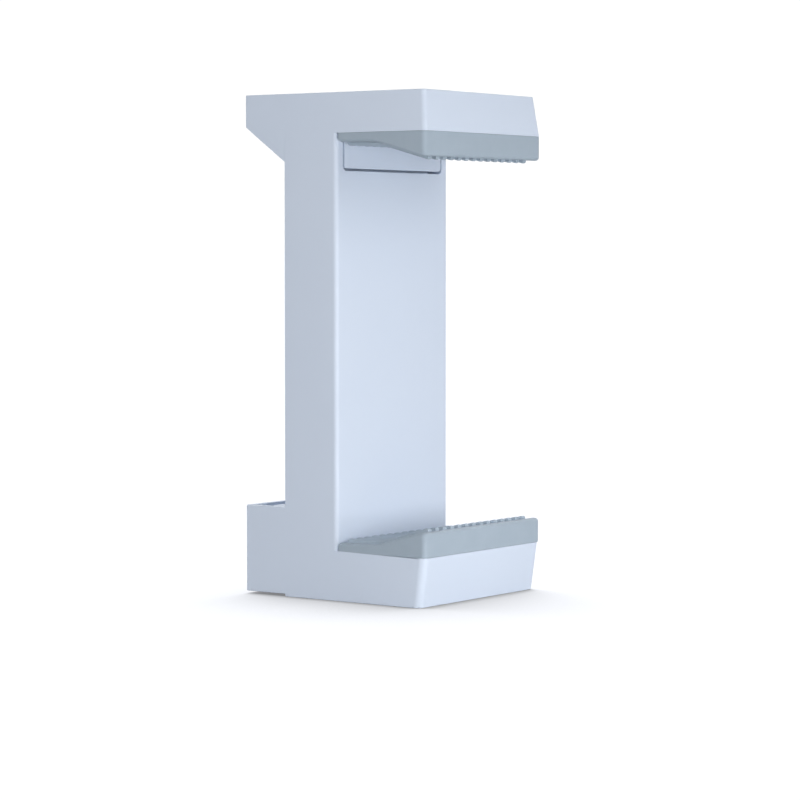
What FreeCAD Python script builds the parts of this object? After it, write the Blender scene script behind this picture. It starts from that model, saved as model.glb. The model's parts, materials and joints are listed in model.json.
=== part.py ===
import FreeCAD, Part
import math
import os
import re

import Sketcher

# Phone clip for a tripod: a C-shaped clamp of white plastic with two ribbed rubber jaws.
# X runs across the clip, Y from the jaws' front edge to the back, Z up.
# The bodies are drawn from the column's front face, mid-width, on the bottom face.
# Each body is then placed so that the tripod thread's mouth is the origin.

# Every size is in millimetres.
SIZES = (
    # Outer form.
    ("total_height", 80.0),        # closed height over both jaws
    ("front_width", 33.5),         # width at the jaws' front edge
    ("side_flare", 2.15),          # how far each side leans in from the jaws' front to the rear
    ("jaw_reach", 17.4),           # how far the jaws stand out in front of the column
    ("rear_reach", 8.15),           # how far block and beak stand out behind the column
    ("outer_round", 0.7),          # radius of the column's and the upper jaw's upright edges
    ("edge_round", 0.4),           # radius of small outer edges
    # Lower jaw and housing.
    ("lower_jaw_height", 7.8),
    ("lower_front_draft", 1.1),    # how far the lower jaw's front leans back at the bottom
    ("lower_corner_round", 1.2),
    ("front_wall", 1.6),
    ("channel_side", 2.23),        # side wall beside the slide frame's channel, at its rear
    ("seat_side", 1.13),           # side wall beside the cover's seat and the notch, at the rear
    ("insert_roof", 2.5),          # floor left between the bottom insert and the channel
    ("cover_thickness", 1.4),
    ("cover_gap", 0.1),
    ("notch_depth", 5.85),          # the front wall is cut down by this at the top
    ("notch_round", 0.9),
    ("panel_gap", 0.35),
    # Rear block.
    ("block_height", 14.3),
    ("block_lift", 0.4),           # its underside clears what the clip stands on
    ("block_wall", 1.2),
    ("block_floor", 2.3),
    ("tower_side_gap", 1.65),      # open space beside the tower that backs the rear insert
    ("tower_rear_gap", 0.8),
    ("tower_round", 2.9),
    ("tower_drop", 0.3),
    ("insert_wall", 1.3),          # plastic on both sides of the rear insert
    # Upper jaw and its slide frame.
    ("upper_jaw_height", 6.4),
    ("upper_front_draft", 0.75),
    ("upper_side_draft", 0.8),
    ("beak_height", 5.05),         # upright part of the beak's rear face
    ("beak_drop", 10.9),           # from the top down to where the beak meets the column
    ("slide_gap", 0.2),            # running clearance of the slide frame
    ("frame_clearance", 2.6),      # from the lower spring pin up to the closed slide frame
    ("frame_hold", 11.2),          # what stays inside the column above the stop ribs
    ("tongue_web", 1.2),
    ("rail_width", 1.5),
    ("rail_gap", 0.5),             # between the rails and the stop ribs that they pass
    ("lug_height", 3.0),
    ("stop_gap", 0.3),             # left between lug and stop rib when fully open
    ("stop_rib_height", 1.5),
    ("stop_rib_depth", 1.2),
    # Cored pockets under the pads.
    ("core_wall", 2.2),
    ("core_floor", 2.4),
    ("core_rib", 1.8),
    # Rubber pads.
    ("pad_plateau", 1.45),
    ("pad_plateau_length", 7.5),
    ("pad_lip", 3.9),
    ("pad_lip_width", 1.2),
    ("pad_corner_round", 0.8),
    ("pad_rear_gap", 0.3),
    ("pad_plug", 1.5),
    ("plug_gap", 0.15),
    ("rib_count", 14),
    ("rib_side_inset", 2.6),      # from the jaw's side at the front to the first rib
    ("rib_rear_inset", 1.0),
    ("rib_width", 1.0),
    ("rib_height", 0.55),
    ("rib_slope", 0.4),
    ("rib_sink", 0.4),
    # Threaded inserts, for a quarter-inch tripod screw.
    ("insert_radius", 4.2),
    ("insert_bore", 2.6),
    ("insert_length", 8.0),
    ("insert_chamfer", 0.5),
    ("fit_gap", 0.02),             # radial clearance of what is pushed or screwed in
    # Springs and their pins.
    ("coil_radius", 1.9),
    ("wire_radius", 0.3),
    ("wire_sides", 5),             # the thin wire is drawn with flat sides
    ("coil_turns", 6),
    ("hook_leg", 1.2),
    ("spring_front_gap", 0.3),     # between the springs and the slide frame's web
    ("spring_side_gap", 2.7),      # between the springs and the slide frame's rails
    ("spring_rear_gap", 1.6),      # between the springs and the cover
    ("pin_radius", 1.0),
    ("pin_seat_depth", 0.6),
    ("pin_end_gap", 0.05),
    ("lower_pin_gap", 3.0),        # above the cover screws' bosses
    ("upper_pin_drop", 8.6),       # below the column's top
    # Cover screws and their bosses.
    ("screw_inset", 5.2),          # in from the seat's side walls
    ("screw_edge", 1.2),           # between counterbore and the cover's lower edge
    ("boss_wall", 1.4),
    ("screw_radius", 1.0),
    ("screw_length", 5.0),
    ("screw_head_radius", 1.9),
    ("screw_head_height", 0.8),
    ("screw_clearance", 0.2),
    ("recess_width", 0.5),
    ("recess_length", 2.2),
    ("recess_depth", 0.45),
)


def half_width(y):
    """Half the clip's width at depth y: the sides flare towards the front."""
    return f"(front_width / 2 - side_flare * ({y} + jaw_reach) / (jaw_reach + rear_end))"


# Sizes and places that follow from the ones above, so that pieces that meet stay together.
DERIVED = (
    ("column_top", "total_height - upper_jaw_height"),
    ("web_front", "front_wall + slide_gap"),
    ("pin_depth", "web_front + tongue_web + spring_front_gap + coil_radius + wire_radius"),
    ("column_depth", "pin_depth + coil_radius + wire_radius + spring_rear_gap + cover_thickness"),
    ("rear_end", "column_depth + rear_reach"),
    ("rear_width", "front_width - 2 * side_flare"),
    ("channel_back", "column_depth - cover_thickness"),
    ("channel_width", f"2 * ({half_width('column_depth')} - channel_side)"),
    ("wall_spacing", f"2 * ({half_width('column_depth')} - seat_side)"),
    ("channel_floor", "insert_length + insert_roof"),
    ("block_pocket_floor", "block_lift + block_floor"),
    ("tower_width", "rear_width - 2 * (block_wall + tower_side_gap)"),
    ("tower_depth", "rear_reach - block_wall - tower_rear_gap"),
    ("panel_foot", "column_top - notch_depth + panel_gap"),
    ("panel_half_width", "wall_spacing / 2 - panel_gap"),
    ("frame_half_width", "channel_width / 2 - slide_gap"),
    ("frame_back", "channel_back - slide_gap"),
    ("rail_back", "channel_back - stop_rib_depth - rail_gap"),
    ("insert_depth", "column_depth / 2"),                    # the bottom insert's axis
    ("insert_height", "(block_lift + block_height) / 2"),    # the rear insert's axis
    ("counterbore_radius", "screw_head_radius + screw_clearance"),
    ("screw_offset", "wall_spacing / 2 - screw_inset"),
    ("screw_height", "block_height + screw_edge + counterbore_radius"),
    ("boss_radius", "screw_radius + boss_wall"),
    ("lower_pin_height", "screw_height + boss_radius + lower_pin_gap + pin_radius"),
    ("upper_pin_height", "column_top - upper_pin_drop"),
    ("pin_seat_width", "channel_width + 2 * pin_seat_depth"),
    ("spring_offset", "frame_half_width - rail_width - spring_side_gap - coil_radius - wire_radius"),
    ("frame_foot", "lower_pin_height + pin_radius + frame_clearance"),
    ("stop_foot", "column_top - frame_hold - stop_rib_height"),
    ("travel", "stop_foot - stop_gap - lug_height - frame_foot"),
    ("rib_pitch", "(front_width - 2 * rib_side_inset - rib_width) / (rib_count - 1)"),
)

ALIASES = {name for name, _ in SIZES + DERIVED}

doc = FreeCAD.newDocument("phone_clip")
sheet = doc.addObject("Spreadsheet::Sheet", "sizes")
cells = SIZES + tuple((name, "=" + formula) for name, formula in DERIVED)
for row, (name, content) in enumerate(cells, start=1):
    sheet.set(f"A{row}", name)
    sheet.set(f"B{row}", str(content))
    sheet.setAlias(f"B{row}", name)
doc.recompute()


def tie(expression):
    """The same expression with each size read from the sheet."""
    return re.sub(r"[a-z_]+", lambda word: "sizes." + word.group(0) if word.group(0) in ALIASES else word.group(0),
                  expression)


def size(name):
    """A size's value, in millimetres."""
    return float(sheet.get(name))


def value(expression):
    """What an expression of sizes comes to."""
    return float(sheet.evalExpression(tie(expression)))


class Piece:
    """One sub-part: a PartDesign body and the features that make it."""

    def __init__(self, label):
        self.body = doc.addObject("PartDesign::Body", label)
        self.body.Label = label
        self.body.setExpression("Placement.Base.y", tie("-insert_depth"))

    def feature(self, kind, **links):
        """Add a feature of this kind and set its links."""
        made = self.body.newObject("PartDesign::" + kind, kind)
        for name, value in links.items():
            setattr(made, name, value)
        return made

    def sketch(self, role, x="0", y="0", z="0"):
        """A sketch on an origin plane, moved by x, y and z along the plane's own axes."""
        made = self.body.newObject("Sketcher::SketchObject", "Sketch")
        plane = next(item for item in self.body.Origin.OriginFeatures if item.Role == role)
        made.AttachmentSupport = [(plane, "")]
        made.MapMode = "FlatFace"
        for axis, expression in (("x", x), ("y", y), ("z", z)):
            made.setExpression("AttachmentOffset.Base." + axis, tie(expression))
        return made

    def plan(self, height="0"):
        """A sketch seen from above at this height: X to the right, Y up."""
        return self.sketch("XY_Plane", z=height)

    def side(self, x="0"):
        """A sketch seen from the right at this X: Y to the right, Z up."""
        return self.sketch("YZ_Plane", z=x)

    def front(self, depth="0"):
        """A sketch seen from the front at this depth: X to the right, Z up."""
        return self.sketch("XZ_Plane", z=f"-({depth})")

    def extrude(self, kind, sketch, length, reverse=False, symmetric=False):
        """A pad or pocket from the sketch: through everything if no length is given."""
        made = self.feature(kind, Profile=sketch, Reversed=reverse)
        if symmetric:
            made.SideType = "Symmetric"
        if length is None:
            made.Type = "ThroughAll"
        else:
            made.setExpression("Length", tie(length))
        sketch.Visibility = False
        return made

    def pad(self, sketch, length, **how):
        """Add material from the sketch."""
        return self.extrude("Pad", sketch, length, **how)

    def pocket(self, sketch, length=None, **how):
        """Take material away from the sketch."""
        return self.extrude("Pocket", sketch, length, **how)

    def soften(self, kind, amount, chosen):
        """Fillet or chamfer the edges that chosen accepts, by the edge's middle and its direction."""
        doc.recompute()
        base = self.body.Tip
        names = [f"Edge{number}" for number, edge in enumerate(base.Shape.Edges, start=1) if chosen(*lie(edge))]
        made = self.feature(kind, Base=(base, names))
        made.setExpression("Radius" if kind == "Fillet" else "Size", tie(amount))
        doc.recompute()
        return made


def lie(edge):
    """An edge's middle point, and its direction there without sign, in the body's own frame."""
    middle = edge.valueAt((edge.FirstParameter + edge.LastParameter) / 2)
    along = edge.tangentAt((edge.FirstParameter + edge.LastParameter) / 2)
    return middle, FreeCAD.Vector(abs(along.x), abs(along.y), abs(along.z))


def near(found, target, slack=0.02):
    """Whether two lengths are the same, within a hair."""
    return abs(found - target) < slack


def upright(along):
    """Whether an edge runs up, or leans only a little."""
    return along.z > 0.9


def pin_down(sketch, geometry, point, x, y):
    """Fix one point of a sketch at x, y from the sketch's zero."""
    for kind, expression in (("DistanceX", x), ("DistanceY", y)):
        number = sketch.addConstraint(Sketcher.Constraint(kind, -1, 1, geometry, point, 1.0))
        sketch.setExpression(f"Constraints[{number}]", tie(expression))


def outline(sketch, points):
    """A closed outline of straight lines through the points, each an x and a y expression."""
    count = len(points)
    first = sketch.GeometryCount
    around = [FreeCAD.Vector(math.cos(2 * math.pi * i / count), math.sin(2 * math.pi * i / count), 0)
              for i in range(count)]
    for i in range(count):
        sketch.addGeometry(Part.LineSegment(around[i], around[(i + 1) % count]))
    for i in range(count):
        sketch.addConstraint(Sketcher.Constraint("Coincident", first + i, 2, first + (i + 1) % count, 1))
    for i, (x, y) in enumerate(points):
        pin_down(sketch, first + i, 1, x, y)
    return sketch


def rectangle(sketch, x_low, x_high, y_low, y_high):
    """A rectangle between these bounds."""
    return outline(sketch, ((x_low, y_low), (x_high, y_low), (x_high, y_high), (x_low, y_high)))


def circle(sketch, x, y, radius):
    """A circle around x, y."""
    made = sketch.addGeometry(Part.Circle(FreeCAD.Vector(1, 1, 0), FreeCAD.Vector(0, 0, 1), 1))
    pin_down(sketch, made, 3, x, y)
    number = sketch.addConstraint(Sketcher.Constraint("Radius", made, 1.0))
    sketch.setExpression(f"Constraints[{number}]", tie(radius))
    return sketch


def centred(sketch, width, y_low, y_high):
    """A rectangle of this width, half on each side of the clip's middle."""
    return rectangle(sketch, f"-({width}) / 2", f"({width}) / 2", y_low, y_high)


def flared(sketch, y_low, y_high):
    """The plan outline between two depths, with the clip's flared sides."""
    low, high = half_width(y_low), half_width(y_high)
    return outline(sketch, ((f"-{low}", y_low), (low, y_low), (high, y_high), (f"-{high}", y_high)))


def cut_flare(piece):
    """Cut both sides back to the flare, over the piece's whole height."""
    sketch = piece.plan()
    for sign in ("-", ""):
        outline(sketch, ((f"{sign}front_width / 2", "-jaw_reach"), (f"{sign}front_width", "-jaw_reach"),
                         (f"{sign}front_width", "rear_end"), (f"{sign}rear_width / 2", "rear_end")))
    return piece.pocket(sketch, reverse=True)


def core(sketch, gap="0"):
    """The two pockets that hollow a jaw behind its pad, or the pad's plugs with a gap all round."""
    front, rear = f"core_wall + {gap} - jaw_reach", f"-core_wall - {gap}"
    side = f"({half_width('(-core_wall)')} - core_wall - {gap})"
    for sign in ("-", ""):
        rectangle(sketch, f"{sign}(core_rib / 2 + {gap})", f"{sign}{side}", front, rear)
    return sketch


def make_body_shell():
    """Lower jaw, channelled column and rear block, moulded as one piece."""
    piece = Piece("body_shell")
    piece.pad(outline(piece.side(), (
        ("lower_front_draft - jaw_reach", "0"),
        ("column_depth", "0"),
        ("column_depth", "column_top"),
        ("0", "column_top"),
        ("0", "lower_jaw_height"),
        ("-jaw_reach", "lower_jaw_height"),
    )), "front_width", symmetric=True)
    piece.pad(rectangle(piece.side(), "channel_back", "rear_end", "block_lift", "block_height"),
              "front_width", symmetric=True)
    cut_flare(piece)
    # The channel, the cover's seat behind it and the notch that the slide frame's neck fills.
    top = piece.plan("column_top")
    piece.pocket(centred(top, "channel_width", "front_wall", "channel_back"), "column_top - channel_floor")
    top = piece.plan("column_top")
    piece.pocket(centred(top, "wall_spacing", "channel_back", "column_depth"), "column_top - block_height")
    piece.pocket(centred(piece.plan("column_top"), "wall_spacing", "0", "channel_back"), "notch_depth")
    # Bosses for the cover's screws, and seats for the lower spring pin.
    for sign in ("-", ""):
        x = f"{sign}screw_offset"
        boss = circle(piece.front("front_wall"), x, "screw_height", "boss_radius")
        piece.pad(boss, "channel_back - front_wall", reverse=True)
        pilot = circle(piece.front("channel_back"), x, "screw_height", "screw_radius + fit_gap")
        piece.pocket(pilot, "screw_length", reverse=True)
    seat = "(pin_radius + fit_gap)"
    piece.pocket(rectangle(piece.side(), f"pin_depth - {seat}", "channel_back",
                           f"lower_pin_height - {seat}", f"lower_pin_height + {seat}"),
                 "pin_seat_width", symmetric=True)
    # The block is hollow from above, around the tower that backs the rear insert.
    inner = "(rear_end - block_wall)"
    side_low, side_high = f"({half_width('column_depth')} - block_wall)", f"({half_width(inner)} - block_wall)"
    piece.pocket(outline(piece.plan("block_height"), (
        (f"-{side_low}", "column_depth"), (side_low, "column_depth"),
        (side_high, inner), (f"-{side_high}", inner))), "block_height - block_pocket_floor")
    tower_back = "(column_depth + tower_depth)"
    tower_height = "block_height - tower_drop - block_pocket_floor"
    piece.pad(centred(piece.plan("block_pocket_floor"), "tower_width", "column_depth", tower_back), tower_height)
    piece.soften("Fillet", "tower_round", lambda middle, along: (
        upright(along) and near(middle.y, value(tower_back)) and near(abs(middle.x), size("tower_width") / 2)))
    piece.pad(centred(piece.plan("block_pocket_floor"), "2 * (insert_radius + insert_wall)",
                      f"{tower_back} - tower_round", inner), tower_height)
    # Bores for the two threaded inserts.
    bore = circle(piece.plan(), "0", "insert_depth", "insert_radius")
    piece.pocket(bore, "insert_length", reverse=True)
    bore = circle(piece.front("rear_end"), "0", "insert_height", "insert_radius")
    piece.pocket(bore, "rear_reach", reverse=True)
    # Pockets under the pad.
    piece.pocket(core(piece.plan("lower_jaw_height")), "lower_jaw_height - core_floor")
    piece.soften("Fillet", "lower_corner_round", lambda middle, along: (
        upright(along) and middle.y < value("lower_front_draft - jaw_reach")))
    piece.soften("Fillet", "outer_round", lambda middle, along: (
        upright(along) and near(middle.y, 0) and near(abs(middle.x), value(half_width("0")))
        and middle.z > size("lower_jaw_height")))
    piece.soften("Fillet", "notch_round", lambda middle, along: (
        near(along.y, 1) and near(middle.z, value("column_top - notch_depth"))
        and near(abs(middle.x), size("wall_spacing") / 2)))
    piece.soften("Fillet", "edge_round", lambda middle, along: (
        upright(along) and near(middle.y, size("rear_end")) and near(abs(middle.x), size("rear_width") / 2)))
    return piece


def make_rear_cover():
    """Plate that closes the channel from behind, with two stop ribs for the slide frame."""
    piece = Piece("rear_cover")
    plate = centred(piece.plan("block_height"), "wall_spacing - 2 * cover_gap", "channel_back", "column_depth")
    piece.pad(plate, "column_top - block_height")
    outer = "(frame_half_width - slide_gap)"
    for sign in ("-", ""):
        rib = rectangle(piece.plan("stop_foot"), f"{sign}({outer} - rail_width - slide_gap)", f"{sign}{outer}",
                        "channel_back - stop_rib_depth", "channel_back")
        piece.pad(rib, "stop_rib_height")
        for radius, depth in (("screw_radius + screw_clearance", "cover_thickness"),
                              ("counterbore_radius", "screw_head_height")):
            hole = circle(piece.front("column_depth"), f"{sign}screw_offset", "screw_height", radius)
            piece.pocket(hole, depth, reverse=True)
    return piece


def make_cover_screw(label, sign):
    """Small pan-head screw with a cross recess, seated in the cover's counterbore."""
    piece = Piece(label)
    x = f"{sign}screw_offset"
    seat = "(column_depth - screw_head_height)"
    head = circle(piece.front(seat), x, "screw_height", "screw_head_radius")
    piece.pad(head, "screw_head_height", reverse=True)
    shank = circle(piece.front(seat), x, "screw_height", "screw_radius")
    piece.pad(shank, f"{seat} - channel_back + screw_length")
    for wide, high in (("recess_length", "recess_width"), ("recess_width", "recess_length")):
        slot = rectangle(piece.front("column_depth"), f"{x} - {wide} / 2", f"{x} + {wide} / 2",
                         f"screw_height - {high} / 2", f"screw_height + {high} / 2")
        piece.pocket(slot, "recess_depth", reverse=True)
    return piece


def make_insert(label, upwards):
    """Brass insert with a plain bore at the thread's inner radius, from its mouth up or forwards."""
    piece = Piece(label)
    outer = "insert_radius - fit_gap"
    profile = (("insert_bore + insert_chamfer", "0"), (outer, "0"), (outer, "insert_length"),
               ("insert_bore", "insert_length"), ("insert_bore", "insert_chamfer"))
    if upwards:
        sketch, axis = piece.sketch("XZ_Plane", z="-insert_depth"), "V_Axis"
        outline(sketch, profile)
    else:
        sketch, axis = piece.sketch("YZ_Plane", x="rear_end", y="insert_height"), "H_Axis"
        outline(sketch, [(f"-({along})", out) for out, along in profile])
    piece.feature("Revolution", Profile=sketch, ReferenceAxis=(sketch, [axis]), Angle=360)
    sketch.Visibility = False
    return piece


def make_upper_jaw():
    """Upper jaw with its beak, and the slide frame that runs down inside the column."""
    piece = Piece("upper_jaw")
    front, narrow = "upper_front_draft - jaw_reach", "(front_width / 2 - upper_side_draft)"
    crown = outline(piece.plan("total_height"), (
        (f"-{narrow}", front), (narrow, front), ("rear_width / 2", "rear_end"), ("-rear_width / 2", "rear_end")))
    foot = flared(piece.plan("column_top"), "-jaw_reach", "rear_end")
    piece.feature("AdditiveLoft", Profile=foot, Sections=[crown], Ruled=True)
    # The beak hangs behind the column, and its underside slopes in towards it.
    beak_foot = "(total_height - beak_drop)"
    piece.pad(flared(piece.plan(beak_foot), "column_depth + slide_gap", "rear_end"), f"column_top - {beak_foot}")
    slope = outline(piece.side(), (
        ("column_depth", beak_foot), ("rear_end", beak_foot), ("rear_end", "total_height - beak_height")))
    piece.pocket(slope, "front_width", symmetric=True)
    # The neck fills the column's notch, and the slide frame hangs from it: a web, two rails and their lugs.
    piece.pad(centred(piece.plan("panel_foot"), "2 * panel_half_width", "0", "frame_back"),
              "column_top - panel_foot")
    web = rectangle(piece.plan("frame_foot"), "-frame_half_width", "frame_half_width",
                    "web_front", "web_front + tongue_web")
    piece.pad(web, "panel_foot - frame_foot")
    for sign in ("-", ""):
        for rear, height in (("rail_back", "panel_foot - frame_foot"), ("frame_back", "lug_height")):
            bar = rectangle(piece.plan("frame_foot"), f"{sign}(frame_half_width - rail_width)",
                            f"{sign}frame_half_width", "web_front", rear)
            piece.pad(bar, height)
    piece.pocket(circle(piece.side(), "pin_depth", "upper_pin_height", "pin_radius + fit_gap"),
                 "channel_width", symmetric=True)
    piece.pocket(core(piece.plan("column_top")), "upper_jaw_height - core_floor", reverse=True)
    piece.soften("Fillet", "outer_round", lambda middle, along: (
        upright(along) and middle.y < value(front) and middle.z > size("column_top")))
    piece.soften("Fillet", "edge_round", lambda middle, along: (
        upright(along) and near(middle.y, size("rear_end")) and near(abs(middle.x), size("rear_width") / 2)))
    piece.soften("Fillet", "notch_round - panel_gap", lambda middle, along: (
        near(along.y, 1) and near(middle.z, size("panel_foot"))
        and near(abs(middle.x), size("panel_half_width"))))
    return piece


def make_pad(label, seat, away):
    """Ribbed rubber pad: a thin plateau, a ramp and a lip, with two plugs that lock it in the jaw."""
    def level(height):
        """This far above the lower jaw, or below the upper one."""
        return f"({seat} {away} ({height}))"

    piece = Piece(label)
    lip_rear = "pad_lip_width - jaw_reach"
    piece.pad(outline(piece.side(), (
        ("-jaw_reach", seat), ("-pad_rear_gap", seat), ("-pad_rear_gap", level("pad_plateau")),
        ("-pad_plateau_length", level("pad_plateau")), (lip_rear, level("pad_lip")),
        ("-jaw_reach", level("pad_lip")))), "front_width", symmetric=True)
    cut_flare(piece)
    piece.soften("Fillet", "pad_corner_round", lambda middle, along: (
        upright(along) and near(middle.y, -size("jaw_reach")) and near(abs(middle.x), size("front_width") / 2)))
    # Locating plugs, which fill the mouths of the jaw's two cored pockets.
    piece.pad(core(piece.plan(seat), "plug_gap"), "pad_plug", reverse=away == "+")
    # One rib follows plateau and ramp up to the lip, and the rest are copies of it.
    rib = piece.pad(outline(piece.side("-(rib_count - 1) * rib_pitch / 2"), (
        ("-rib_rear_inset", level("pad_plateau - rib_sink")),
        ("-rib_rear_inset", level("pad_plateau")),
        ("-rib_rear_inset - rib_slope", level("pad_plateau + rib_height")),
        ("-pad_plateau_length", level("pad_plateau + rib_height")),
        (lip_rear, level("pad_lip + rib_height")),
        (lip_rear, level("pad_lip - rib_sink")),
        ("-pad_plateau_length", level("pad_plateau - rib_sink")))), "rib_width", symmetric=True)
    x_axis = next(item for item in piece.body.Origin.OriginFeatures if item.Role == "X_Axis")
    rows = piece.feature("LinearPattern", Originals=[rib], Direction=(x_axis, [""]))
    rows.setExpression("Length", tie("(rib_count - 1) * rib_pitch"))
    rows.setExpression("Occurrences", tie("rib_count"))
    piece.body.Tip = rows
    return piece


def make_pin(label, height, length):
    """Steel cross pin that carries the hooks of both springs."""
    piece = Piece(label)
    piece.pad(circle(piece.side(), "pin_depth", height, "pin_radius"), length, symmetric=True)
    return piece


def sweep_wire(start, across, edges):
    """A spring wire's solid along joined edges, from a profile that stands square to the first one."""
    sides = int(size("wire_sides"))
    up = FreeCAD.Vector(0, 0, 1) if across.z == 0 else FreeCAD.Vector(1, 0, 0)
    corners = []
    for i in range(sides):
        turn = 2 * math.pi * (i + 0.5) / sides
        aside = across.cross(up) * math.cos(turn) + up * math.sin(turn)
        corners.append(start + aside * size("wire_radius"))
    return Part.Wire(edges).makePipeShell([Part.makePolygon(corners + corners[:1])], True, False)


def make_spring(label, sign):
    """Extension spring: a coil with a leg and a half-round hook at each end."""
    radius, leg = size("coil_radius"), size("hook_leg")
    seat = radius - value("wire_radius + pin_radius + fit_gap")
    centres = (size("lower_pin_height") + seat, size("upper_pin_height") - seat)
    half_turns = 2 * int(size("coil_turns"))
    foot = centres[0] + leg
    step = (centres[1] - leg - foot) / half_turns
    arcs = []
    for i in range(half_turns):
        side = radius if i % 2 == 0 else -radius
        low, high = foot + i * step, foot + (i + 1) * step
        arcs.append(Part.Arc(FreeCAD.Vector(0, side, low), FreeCAD.Vector(-side, 0, (low + high) / 2),
                             FreeCAD.Vector(0, -side, high)).toShape())
    coil = sweep_wire(FreeCAD.Vector(0, radius, foot), FreeCAD.Vector(1, 0, 0), arcs)
    hooks = []
    for centre, outwards in zip(centres, (-1, 1)):
        top = FreeCAD.Vector(0, radius, centre - outwards * (leg + size("wire_radius") / 2))
        bend = FreeCAD.Vector(0, radius, centre)
        hook = Part.Arc(bend, FreeCAD.Vector(0, 0, centre + outwards * radius), FreeCAD.Vector(0, -radius, centre))
        path = [Part.LineSegment(top, bend).toShape(), hook.toShape()]
        hooks.append(sweep_wire(top, FreeCAD.Vector(0, 0, 1), path))
    spring = doc.addObject("Part::Feature", label)
    spring.Label = label
    spring.Shape = coil.fuse(hooks)
    spring.Placement.Base = FreeCAD.Vector(sign * size("spring_offset"), value("pin_depth - insert_depth"), 0)
    return spring


def check(parts):
    """Stop if a feature failed or a part is not one valid solid."""
    doc.recompute()
    failed = [item.Name for item in doc.Objects if {"Invalid", "Error"} & set(item.State)]
    if failed:
        raise RuntimeError("failed features: " + ", ".join(failed))
    for part in parts:
        if part.Shape.isNull() or not part.Shape.isValid() or len(part.Shape.Solids) != 1:
            raise RuntimeError(f"{part.Label}: not one valid solid")


pieces = [
    make_body_shell(),
    make_rear_cover(),
    make_insert("tripod_insert", True),
    make_insert("rear_insert", False),
    make_pad("lower_pad", "lower_jaw_height", "+"),
    make_pin("lower_spring_pin", "lower_pin_height", "pin_seat_width - 2 * pin_end_gap"),
    make_upper_jaw(),
    make_pad("upper_pad", "column_top", "-"),
    make_pin("upper_spring_pin", "upper_pin_height", "2 * frame_half_width"),
]
doc.recompute()
parts = [piece.body for piece in pieces] + [make_spring("spring_left", -1), make_spring("spring_right", 1)]
screws = [make_cover_screw("cover_screw_left", "-").body, make_cover_screw("cover_screw_right", "").body]
check(parts + screws)

pair = doc.addObject("Part::Compound", "cover_screws")
pair.Label = "cover_screws"
pair.Links = screws
doc.recompute()

os.makedirs("parts", exist_ok=True)
for part in parts + [pair]:
    part.Shape.exportStep(f"parts/{part.Label}.step")
    print(f"{part.Label:18s} {part.Shape.Volume:9.1f} mm3")
print(f"The slide frame travels {size('travel'):.2f} mm.")
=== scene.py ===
"""Looks of the tripod phone clip: moulded shells, ribbed rubber pads, springs, screws and threaded inserts.

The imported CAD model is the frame. Lengths that describe the clip are in millimetres, and turned to metres where they
are handed to Blender. X runs across the clip, -Y towards the jaws' front edge, and Z up.
"""

from __future__ import annotations

import json
import logging
import math
from collections.abc import Callable, Sequence
from dataclasses import dataclass, field
from enum import Enum

import bmesh
import bpy
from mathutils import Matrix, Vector

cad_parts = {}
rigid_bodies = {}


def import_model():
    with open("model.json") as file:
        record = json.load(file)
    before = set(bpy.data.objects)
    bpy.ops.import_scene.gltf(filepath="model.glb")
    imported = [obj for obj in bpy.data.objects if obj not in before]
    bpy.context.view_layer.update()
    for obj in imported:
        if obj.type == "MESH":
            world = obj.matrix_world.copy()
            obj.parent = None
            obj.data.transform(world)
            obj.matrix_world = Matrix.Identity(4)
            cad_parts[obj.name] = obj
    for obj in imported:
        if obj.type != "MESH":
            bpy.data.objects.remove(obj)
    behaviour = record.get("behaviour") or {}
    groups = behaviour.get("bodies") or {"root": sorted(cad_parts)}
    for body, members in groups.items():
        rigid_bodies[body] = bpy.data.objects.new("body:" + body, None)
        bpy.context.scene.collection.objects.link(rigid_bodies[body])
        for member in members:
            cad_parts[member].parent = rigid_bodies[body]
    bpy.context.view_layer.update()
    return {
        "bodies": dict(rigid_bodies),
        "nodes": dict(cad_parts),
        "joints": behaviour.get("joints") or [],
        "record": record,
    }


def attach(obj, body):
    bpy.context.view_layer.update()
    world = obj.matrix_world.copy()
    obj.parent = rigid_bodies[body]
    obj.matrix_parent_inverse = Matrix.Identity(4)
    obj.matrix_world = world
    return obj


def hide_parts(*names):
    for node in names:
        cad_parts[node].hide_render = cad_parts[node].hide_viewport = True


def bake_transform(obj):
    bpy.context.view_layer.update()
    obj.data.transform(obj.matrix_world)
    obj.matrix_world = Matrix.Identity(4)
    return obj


log = logging.getLogger("phone_clip")

MM = 0.001
COLUMN_FRONT = 5.35
"""How far the column's front face lies in front of the origin."""
CLOSE = 0.01
"""Two places nearer than this many millimetres count as one."""
SHARP = 50.0
"""Edges of a pad that bend by more degrees than this get rounded."""
MERGE = 1e-6
"""Points nearer than this many metres are merged."""
FLAT = 0.5
"""Faces of a CAD mesh that bend by fewer degrees than this are one flat face."""
ALONG = 0.99
"""Cosine from which an edge counts as running along an axis."""
FLANK = 0.7
"""Cosine from which a face counts as looking up from its seat."""


class Slot(Enum):
    """The record's material slots."""

    PLASTIC = "white_plastic"
    RUBBER = "grey_rubber"
    STEEL = "steel"
    SPRING = "spring_steel"
    BRASS = "brass"


class Body(Enum):
    """The CAD bodies that pieces ride on."""

    HOUSING = "housing"
    SLIDER = "slider"


class Part(Enum):
    """What is picked in edit mode."""

    VERTICES = "VERT"
    EDGES = "EDGE"
    FACES = "FACE"


# Small tools


def place(x: float, y: float, z: float) -> Vector:
    """Turn millimetres to a point of the frame.

    Args:
        x: across the clip, from its middle.
        y: behind the column's front face.
        z: above the bottom face.

    Returns:
        The point in metres.
    """
    return Vector((x, y - COLUMN_FRONT, z)) * MM


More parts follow.
